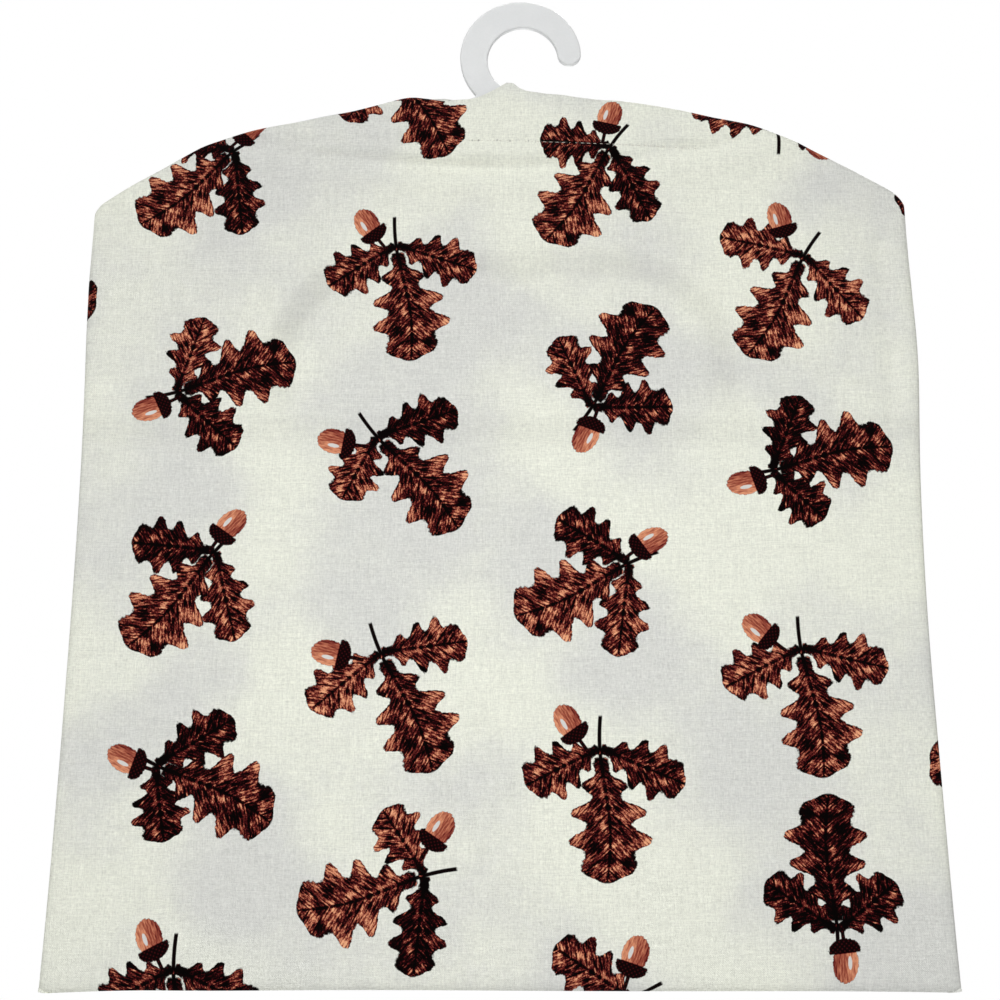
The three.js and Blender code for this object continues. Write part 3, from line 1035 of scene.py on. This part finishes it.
def tape_cotton():
    """Natural cotton tape with a fine twill rib."""
    finish, b, shader = start_finish("Cotton Tape")
    spot = cloth_spot(b)
    x, y, _ = b.split(spot)
    threads = b.use(weave, Cloth=spot, Thread_Pitch=tape_pitch * MM)
    lean = b.math("ADD", b.math("PINGPONG", x, 0.003), y)
    rib = b.math("MULTIPLY_ADD", b.math("SINE", b.times(lean, 4400.0)), 0.5, 0.5)
    # The tint is lighter on the twill's ribs and darker between them, painted shade of the rib, and
    # follows the slub threads' own tone
    tint = b.math("ADD", b.times(rib, 0.3), b.times(threads["Slub"], 0.7))
    tints = [(0.2, paint(196, 186, 164)), (0.75, paint(226, 219, 200))]
    b.feed(shader.inputs["Base Color"], b.colours(tint, tints))
    b.feed(shader.inputs["Roughness"], b.ramp(rib, 0.0, 1.0, "LINEAR", 0.92, 0.8))
    shader.inputs["Specular IOR Level"].default_value = 0.25
    height = b.math("ADD", b.times(rib, 0.6), b.times(threads["Height"], 0.4))
    bump(b, shader, height, 0.4, 0.0003)
    return finish


def sewing_thread():
    """Twisted sewing thread."""
    finish, b, shader = start_finish("Sewing Thread")
    spot = b.put("ShaderNodeTexCoord").outputs["Object"]
    x, y, z = b.split(spot)
    twist = b.math("SINE", b.times(b.math("ADD", x, b.math("ADD", y, z)), 9000.0))
    fibre = b.noise(spot, 2600.0, 2.0, 0.6)
    # Darker in the twist's grooves, painted shade of the twist, over the fibres' own uneven tone
    tint = b.math("MULTIPLY_ADD", twist, 0.2, fibre)
    tints = [(0.2, paint(176, 172, 160)), (0.8, paint(218, 214, 200))]
    b.feed(shader.inputs["Base Color"], b.colours(tint, tints))
    b.feed(shader.inputs["Roughness"], b.ramp(fibre, 0.3, 0.7, "LINEAR", 0.5, 0.7))
    bump(b, shader, twist, 0.3, 0.0001)
    return finish


def hanger_plastic():
    """Satin white sheet plastic with faint flow marks and light scuffs."""
    finish, b, shader = start_finish("White Plastic")
    spot = b.put("ShaderNodeTexCoord").outputs["Object"]
    x, _, z = b.split(spot)
    flow = b.noise(spot, 38.0, 3.0, 0.5)
    grain = b.noise(spot, 1500.0, 2.0, 0.6)
    tint = b.math("ADD", b.times(flow, 0.7), b.times(grain, 0.3))
    tints = [(0.3, paint(214, 216, 216)), (0.7, paint(224, 225, 225))]
    b.feed(shader.inputs["Base Color"], b.colours(tint, tints))
    scuff = b.noise(b.join(b.times(x, 300.0), b.times(z, 60.0)), 1.0, 4.0, 0.7)
    b.feed(shader.inputs["Roughness"], b.ramp(scuff, 0.35, 0.7, "LINEAR", 0.34, 0.52))
    bump(b, shader, grain, 0.08, 0.00015)
    return finish


leaf = leaf_group()
acorn = acorn_group()
sprigs = sprig_group(leaf, acorn)
weave = weave_group()
wash = wash_group()
back_cotton = printed_cotton("Printed Cotton Back", 1.0, over_tapes=True)
face_cotton = printed_cotton("Printed Cotton", 1.0)
reverse_cotton = printed_cotton("Printed Cotton Reverse", 0.3)
cotton_tape = tape_cotton()
thread = sewing_thread()
white_plastic = hanger_plastic()
back_slots = [back_cotton, reverse_cotton]
front_slots = [face_cotton, reverse_cotton]


# Cloth panels


def spaced(stops):
    """Values from the first stop to the last, with a step for each stretch: (value, step), ..."""
    values = []
    for (start, step), (end, _) in zip(stops, stops[1:]):
        count = max(1, round(abs(end - start) / step))
        values.extend(start + (end - start) * i / count for i in range(count))
    values.append(stops[-1][0])
    return np.array(values)


def back_spots():
    """Spots of the back, closer together along its rolled edges."""
    stops = [(-173, 0.7), (-166, 1.5), (-154, 2.8), (154, 1.5), (166, 0.7), (173, 1)]
    across = spaced(stops) / shoulder_half
    down = spaced([(0, 0.7), (7, 1.3), (42, 2.8), (345, 1.3), (359, 0.8), (369, 1)]) / 369
    u, v = np.meshgrid(across, down)
    guess = u * shoulder_half
    top = back_shoulder(guess)
    fall = top + v * (bottom_edge(guess) - top)
    stretch = lerp(shoulder_half, half_width(u, fall), ease(0, 40, fall - top))
    return np.stack([u * stretch, fall], axis=-1)


def widened(x, fall, top):
    """Spreads the yoke's spots to the bag's true width, and tucks in what lies under the pocket."""
    half = half_width(x, fall) - under_pocket(fall)
    gain = (half - shoulder_half) * ease(0, 40, fall - top)
    return x + np.sign(x) * gain * ease(mouth_half, shoulder_half, np.abs(x))


def yoke_patches():
    """The yoke above the hand opening's feet, and the two legs beside the opening."""
    flat_half = mouth_half - mouth_round
    foot = mouth_top + mouth_round
    arc = np.linspace(0, math.pi / 2, 14)
    run = flat_half + mouth_round * np.sin(arc)
    bridge = spaced([(-flat_half, 4), (flat_half, 4)])[1:-1]
    inner = np.concatenate([-run[::-1], bridge, run])
    outer = spaced([(mouth_half, 3), (156, 1.5), (166, 0.7), (173, 1)])[1:]
    across = np.concatenate([-outer[::-1], inner, outer])
    reach = np.abs(across)
    bow = np.sqrt(np.maximum(mouth_round**2 - np.maximum(reach - flat_half, 0) ** 2, 0))
    cut = np.where(reach < mouth_half, foot - bow, foot)
    down = spaced([(0, 0.8), (7, 2.5), (100, 1)]) / 100
    u, v = np.meshgrid(across, down)
    top = plain_shoulder(u)
    fall = top + v * (cut[None, :] - top)
    patches = [np.stack([widened(u, fall, top), fall], axis=-1)]
    left = np.concatenate([-outer[::-1], [-mouth_half]])
    right = np.concatenate([[mouth_half], outer])
    for columns in (left, right):
        u, v = np.meshgrid(columns, np.linspace(foot, yoke_bottom, 16))
        patches.append(np.stack([widened(u, v, plain_shoulder(u)), v], axis=-1))
    return patches


def pocket_spots(side):
    """Spots of one half of the pocket; both halves share the ones on the centreline."""
    across = spaced([(0, 2.8), (154, 1.5), (165, 0.7), (173, 1)]) / shoulder_half
    if side < 0:
        across = -across[::-1]
    down = spaced([(0, 1.0), (16, 2.8), (195, 1.5), (211, 0.8), (221, 1)]) / 221
    u, v = np.meshgrid(across, down)
    fall = pocket_top + v * (bottom_edge(u * shoulder_half) - pocket_top)
    return np.stack([u * half_width(u, fall), fall], axis=-1)


def pocket_half(name, side):
    """One half of the pocket's cloth."""
    spots = [pocket_spots(side)]
    return sew_panel(name, spots, pocket_face, 1, pocket_map, front_slots, hung_pocket.settle)


# Where each panel was cut from the printed cloth
back_map = (0, 0)
yoke_map = (31, 417)
pocket_map = (487, 133)

back_cloth = sew_panel("back_cloth", [back_spots()], back_face, -1, back_map, back_slots)
yoke_cloth = sew_panel(
    "yoke_cloth", yoke_patches(), yoke_face, 1, yoke_map, front_slots, hung_yoke.settle
)
pocket_left = pocket_half("pocket_left", -1)
pocket_right = pocket_half("pocket_right", 1)


# Tapes


def arch_line(offset, foot):
    """Points round the hand opening, from its right foot to its left foot, moved out by an offset."""
    flat_half = mouth_half - mouth_round
    arc = np.linspace(0, math.pi / 2, 22)
    radius = mouth_round + offset
    legs = np.linspace(foot, mouth_top + mouth_round, 9)[:-1]
    bridge = np.linspace(flat_half, -flat_half, 26)[1:-1]
    leg_x = np.full(len(legs), mouth_half + offset)
    bow_x = flat_half + radius * np.cos(arc)
    bow_fall = mouth_top + mouth_round - radius * np.sin(arc)
    bridge_fall = np.full(len(bridge), mouth_top - offset)
    x = np.concatenate([leg_x, bow_x, bridge, -bow_x[::-1], -leg_x])
    fall = np.concatenate([legs, bow_fall, bridge_fall, bow_fall[::-1], legs[::-1]])
    return x, fall


def folded(half, fold):
    """A tape's section, folded over an edge: (distance inside the edge, side of the cloth)."""
    return [(inside, -side) for inside, side in half] + [(fold, 0)] + half[::-1]


def arch_binding():
    """Tape folded over the cut edge of the hand opening."""
    lines = []
    for offset, side in folded([(10, 1), (8, 1), (4, 1), (1, 1), (-0.3, 0.7)], -0.75):
        x, fall = arch_line(offset, yoke_bottom - 0.3)
        middle = yoke_face(x, fall) - cloth_thick / 2
        ripple = 0.06 * np.sin(np.arange(len(x)) * 1.9)
        lines.append(np.stack([x, middle + side * (tape_rise + ripple), fall], axis=-1))
    points = hung_yoke.settle(np.stack(lines, axis=1))
    return sew_strip("arch_tape", points, tape_thick, cotton_tape)


def hem_tape(name, side):
    """Tape folded over one half of the pocket's free top edge."""
    across = np.linspace(0, 172, 88) * side
    lines = []
    for depth, layer in folded([(14, 1), (9, 1), (3, 1), (0.5, 1), (-0.7, 0.6)], -0.95):
        fall = np.full_like(across, pocket_top + depth)
        middle = pocket_face(across, np.maximum(fall, pocket_top)) - cloth_thick / 2
        lines.append(np.stack([across, middle + layer * tape_rise, fall], axis=-1))
    points = hung_pocket.settle(np.stack(lines, axis=1))
    if side > 0:
        points = points[::-1]
    return sew_strip(name, points, tape_thick, cotton_tape)


arch_tape = arch_binding()
hem_left = hem_tape("hem_left", -1)
hem_right = hem_tape("hem_right", 1)


# Facing and seam allowances inside the bag


def facing_strip():
    """The strip behind the neck, from just under the back's top edge to below its stitch row."""
    x = np.linspace(-88, 88, 90)
    top = np.maximum(back_shoulder(x), plain_shoulder(x)) + 3.2
    lines = []
    for share in np.linspace(0, 1, 10):
        fall = lerp(top, 26, share)
        depth = back_face(x, fall) + cloth_thick + 0.25
        lines.append(np.stack([x, depth, fall], axis=-1))
    return sew_strip("facing_cloth", np.stack(lines, axis=1), 0.5, reverse_cotton, (71, 13))


def sew_allowance(name, lines, map_shift):
    """A turned-in strip of the cloth, its reverse showing."""
    points = np.stack(lines, axis=1)
    return sew_strip(name, points, allowance_thick, reverse_cotton, map_shift)


def side_allowance(name, side):
    """The strip inside one side seam."""
    fall = np.linspace(57, 361, 150)
    edge = side_edge(fall, side)
    lines = []
    for inset in np.linspace(1.3, 6.6, 6):
        ripple = 0.25 * np.sin(fall / 4.1 + side) * (inset - 1.3) / 5.3
        lines.append(np.stack([side * (edge - inset), allowance_depth + ripple, fall], axis=-1))
    return sew_allowance(name, lines, (113, 29))


def shoulder_allowance(name, from_x, to_x):
    """The strip inside one shoulder seam."""
    x = np.linspace(from_x, to_x, 90)
    level = np.full_like(x, allowance_depth)
    lines = []
    for depth in np.linspace(0.9, 2.5, 3):
        lines.append(np.stack([x, level, plain_shoulder(x) + depth], axis=-1))
    return sew_allowance(name, lines, (19, 203))


def bottom_allowance():
    """The strip inside the bottom seam."""
    x = np.linspace(-168, 168, 170)
    lines = []
    for rise in np.linspace(1.3, 6.3, 6):
        ripple = 0.25 * np.sin(x / 4.3) * (rise - 1.3) / 5
        fall = np.full_like(x, bag_height - 0.3 - rise)
        lines.append(np.stack([x, allowance_depth + ripple, fall], axis=-1))
    return sew_allowance("bottom_allowance", lines, (7, 61))


facing_cloth = facing_strip()
left_side = side_allowance("left_side_allowance", -1)
right_side = side_allowance("right_side_allowance", 1)
left_shoulder = shoulder_allowance("left_shoulder_allowance", -163, neck_left - 4)
right_shoulder = shoulder_allowance("right_shoulder_allowance", neck_right + 5, 163)
bottom_seam = bottom_allowance()


# Stitches


def stitches_on(name, face, x, fall, outward, proud, sink=0.05, settle=None):
    """A stitch row that follows a line on a cloth face, raised by what lies over the cloth."""
    normal = face_normal(face, x, fall, outward)
    points = np.stack([x, face(x, fall), fall], axis=-1) + proud * normal
    if settle:
        points = settle(points)
    line = along_line(np.concatenate([points, normal], axis=1), stitch_pitch)
    return sew_stitches(name, line[:, :3], line[:, 3:], sink)


def hem_stitches(name, side):
    """The stitch row along one half of the pocket's hem."""
    x = np.linspace(0, 170, 165)
    fall = np.full_like(x, pocket_top + 12)
    return stitches_on(name, pocket_face, side * x, fall, 1, tape_proud, settle=hung_pocket.settle)


tape_proud = tape_thick + 0.1
row_x = np.linspace(neck_row_start, neck_row_end, 200)
neck_row = stitches_on("neck_stitches", back_face, row_x, neck_row_line(row_x), -1, 0.0, sink=0.12)
arch_x, arch_fall = arch_line(8.2, yoke_bottom - 1)
arch_row = stitches_on(
    "arch_stitches", yoke_face, arch_x, arch_fall, 1, tape_proud, settle=hung_yoke.settle
)
hem_row_left = hem_stitches("hem_stitches_left", -1)
hem_row_right = hem_stitches("hem_stitches_right", 1)


# Hanger


def circle_run(centre, radius, start, end, steps):
    """Points along an arc."""
    turn = np.linspace(start, end, steps)
    ring = np.stack([np.cos(turn), np.sin(turn)], axis=-1)
    return np.array(centre) + radius * ring


def hanger_arm(x, depth):
    """Points of the arms' edge, in the hanger's own X and Z."""
    fall = shoulder_curve(np.abs(x)) + depth
    return np.stack([bag_centre / MM + x, bag_top / MM - fall], axis=-1)


def bent(points, steps):
    """A smooth curve drawn by its control points."""
    t = np.linspace(0, 1, steps)[:, None]
    line = [np.array(point, dtype=float)[None, :] for point in points]
    while len(line) > 1:
        line = [lerp(a, b, t) for a, b in zip(line, line[1:])]
    return line[0]


def arm_tip(start, end, swell):
    """The rounded end of an arm."""
    bulge = (start[0] + swell, (start[1] + end[1]) / 2)
    return bent([start, bulge, end], 22)


def hanger_outline():
    """The hanger's edge, anticlockwise from the hook's tip."""
    outer_centre = (hook_outer_x, hook_outer_z)
    outer = circle_run(outer_centre, hook_outer, hook_tip_turn, hook_outer_end, 110)
    inner = circle_run((0, -hook_inner), hook_inner, hook_inner_end, hook_tip_turn, 90)
    outer_root = outer[-1]
    inner_root = inner[0]
    tip_reach = hook_inner + hook_tip_half
    tip_x = tip_reach * math.cos(hook_tip_turn)
    tip_z = -hook_inner + tip_reach * math.sin(hook_tip_turn)
    tip_start = hook_tip_turn + math.pi
    tip = circle_run((tip_x, tip_z), hook_tip_half, tip_start, tip_start + math.pi, 40)
    left_foot = outer_root[0] - 5.5 - bag_centre / MM
    right_foot = inner_root[0] + 12 - bag_centre / MM
    left_top = hanger_arm(np.linspace(left_foot, -arm_end, 110), arm_seat)
    right_top = hanger_arm(np.linspace(arm_end, right_foot, 110), arm_seat)
    under_x = np.linspace(-arm_end, arm_end, 240)
    under = hanger_arm(under_x, arm_seat + arm_depth(under_x))
    neck = bent([outer_root, outer_root + np.array([2.1, -2.1]), left_top[0]], 14)
    left_tip = arm_tip(left_top[-1], under[0], -arm_tip_swell)
    right_tip = arm_tip(under[-1], right_top[0], arm_tip_swell)
    swing = hook_inner_end + math.pi / 2
    lead = inner_root + 4 * np.array([math.cos(swing), math.sin(swing)])
    root = bent([right_top[-1], right_top[-1] - np.array([4, 0]), lead, inner_root], 22)
    runs = [outer, neck, left_top, left_tip, under, right_tip, right_top, root, inner, tip]
    line = np.concatenate(runs)
    apart = np.linalg.norm(line - np.roll(line, -1, axis=0), axis=1) > 0.12
    return line[apart]


def cut_hanger():
    """Hook, neck and arms in one flat piece with eased edges."""
    line = hanger_outline()
    ahead = np.roll(line, -1, axis=0) - np.roll(line, 1, axis=0)
    ahead = ahead / np.linalg.norm(ahead, axis=1, keepdims=True)
    inward = np.stack([-ahead[:, 1], ahead[:, 0]], axis=-1)
    front = []
    for turn in np.linspace(0, math.pi / 2, 7):
        inset = hanger_round * (1 - math.cos(turn))
        front.append((inset, hanger_half - hanger_round * (1 - math.sin(turn))))
    front.append((hanger_round + hanger_face_inset, hanger_half))
    rings = [(inset, -depth) for inset, depth in front[::-1]] + front
    count = len(line)
    places = []
    for inset, depth in rings:
        flat = line + inward * inset
        places.append(np.stack([flat[:, 0], np.full(count, depth), flat[:, 1]], axis=-1) * MM)
    faces = []
    for ring in range(len(rings) - 1):
        for k in range(count):
            a = ring * count + k
            b = ring * count + (k + 1) % count
            faces.append((a, b, b + count, a + count))
    last = (len(rings) - 1) * count
    faces.append(tuple(range(count))[::-1])
    faces.append(tuple(range(last, last + count)))
    slots = [0] * len(faces)
    return make_mesh("flat_hanger", np.concatenate(places), faces, slots, None, [white_plastic])


flat_hanger = cut_hanger()


# Which body each piece moves with, and the CAD node that it stands for

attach(flat_hanger, "hanger")
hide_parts("hanger")

sewn_pieces = [
    (back_cloth, "back_panel", "printed_cotton"),
    (yoke_cloth, "front_yoke", "printed_cotton"),
    (arch_tape, "arch_binding", "cotton_tape"),
    (facing_cloth, "neck_facing", "printed_cotton"),
    (left_shoulder, "left_shoulder_seam", "printed_cotton"),
    (right_shoulder, "right_shoulder_seam", "printed_cotton"),
    (left_side, "left_side_seam", "printed_cotton"),
    (right_side, "right_side_seam", "printed_cotton"),
    (bottom_seam, "bottom_seam", "printed_cotton"),
]
for piece, node, slot_name in sewn_pieces:
    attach(piece, "bag")
    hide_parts(node)
for piece in (neck_row, arch_row):
    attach(piece, "bag")

for piece in (pocket_left, hem_left, hem_row_left):
    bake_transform(piece)
for piece in (pocket_right, hem_right, hem_row_right):
    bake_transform(piece)
for piece in (pocket_left, pocket_right):
    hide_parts("front_pocket")
for piece in (hem_left, hem_right):
    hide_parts("pocket_hem")


# Studio


def looked_at(b):
    """1 for what the camera, a reflection or a clear piece looks at, 0 for light that bounces."""
    path = b.put("ShaderNodeLightPath").outputs
    through = b.math("MAXIMUM", path["Is Glossy Ray"], path["Is Transmission Ray"])
    return b.math("MAXIMUM", path["Is Camera Ray"], through)


def backdrop_finish():
    """A white sheet that shows as plain white and still takes soft shadows for everything else."""
    finish, b, shader = start_finish("White Sheet")
    shader.inputs["Base Color"].default_value = (0.85, 0.85, 0.85, 1)
    shader.inputs["Roughness"].default_value = 0.9
    glow = b.put("ShaderNodeEmission")
    glow.inputs["Color"].default_value = (1, 1, 1, 1)
    glow.inputs["Strength"].default_value = 1
    choice = b.put("ShaderNodeMixShader")
    b.feed(choice.inputs[0], looked_at(b))
    b.feed(choice.inputs[1], shader.outputs[0])
    b.feed(choice.inputs[2], glow.outputs[0])
    b.feed(b.tree.nodes["Material Output"].inputs["Surface"], choice.outputs[0])
    return finish


def studio_floor():
    """A wide white sheet well below the bag."""
    mesh = bpy.data.meshes.new("studio_floor")
    size = 3.0
    level = bag_top - 0.75
    corners = [(-size, -size, level), (size, -size, level), (size, size, level), (-size, size, level)]
    mesh.from_pydata(corners, [], [(0, 1, 2, 3)])
    mesh.materials.append(backdrop_finish())
    floor = bpy.data.objects.new("studio_floor", mesh)
    bpy.context.scene.collection.objects.link(floor)


def soft_light(name, place, size, power):
    """A square lamp turned to the middle of the bag."""
    lamp = bpy.data.lights.new(name, "AREA")
    lamp.shape = "RECTANGLE"
    lamp.size = size
    lamp.size_y = size
    lamp.energy = power
    holder = bpy.data.objects.new(name, lamp)
    bpy.context.scene.collection.objects.link(holder)
    holder.location = place
    reach = np.array([bag_centre, 0, bag_top - 0.18]) - np.array(place)
    flat = math.hypot(reach[0], reach[1])
    holder.rotation_euler = (math.atan2(flat, -reach[2]), 0, math.atan2(-reach[0], reach[1]))


def white_world():
    """A room that shows as white and lights the bag faintly from all round."""
    world = bpy.data.worlds.new("White Room")
    bpy.context.scene.world = world
    world.use_nodes = True
    b = Board(world.node_tree)
    strength = b.ramp(looked_at(b), 0.0, 1.0, "LINEAR", room_light, 1.0)
    background = world.node_tree.nodes["Background"]
    background.inputs["Color"].default_value = (1, 1, 1, 1)
    b.feed(background.inputs["Strength"], strength)


def camera_at_photo():
    """The camera stands a little below the bag's middle and looks up at it."""
    target = np.array([bag_centre, 0, bag_top - camera_aim])
    lens = bpy.data.cameras.new("photo_camera")
    lens.lens = 40
    lens.sensor_width = 36
    lens.dof.use_dof = False
    camera = bpy.data.objects.new("photo_camera", lens)
    bpy.context.scene.collection.objects.link(camera)
    look = np.array([0, math.cos(camera_tilt), math.sin(camera_tilt)])
    camera.location = target - camera_distance * look
    camera.rotation_euler = (math.pi / 2 + camera_tilt, 0, 0)
    bpy.context.scene.camera = camera


# Metres and watts
room_light = 0.127
window_size = 0.2
window_power = 0.77
skylight_size = 1.4
skylight_power = 93
camera_aim = 0.1798
camera_distance = 0.4555
camera_tilt = math.radians(9.26)

studio_floor()
white_world()
for name, side in (("back", -1), ("front", 1)):
    window = (bag_centre + 0.005 * side, 0.47 * side, -0.25)
    skylight = (0.5 * side, 2.4 * side, 3.0)
    soft_light(f"{name}_window", window, window_size, window_power)
    soft_light(f"{name}_skylight", skylight, skylight_size, skylight_power)
camera_at_photo()
bpy.context.scene.view_settings.view_transform = "Standard"

bpy.context.view_layer.update()
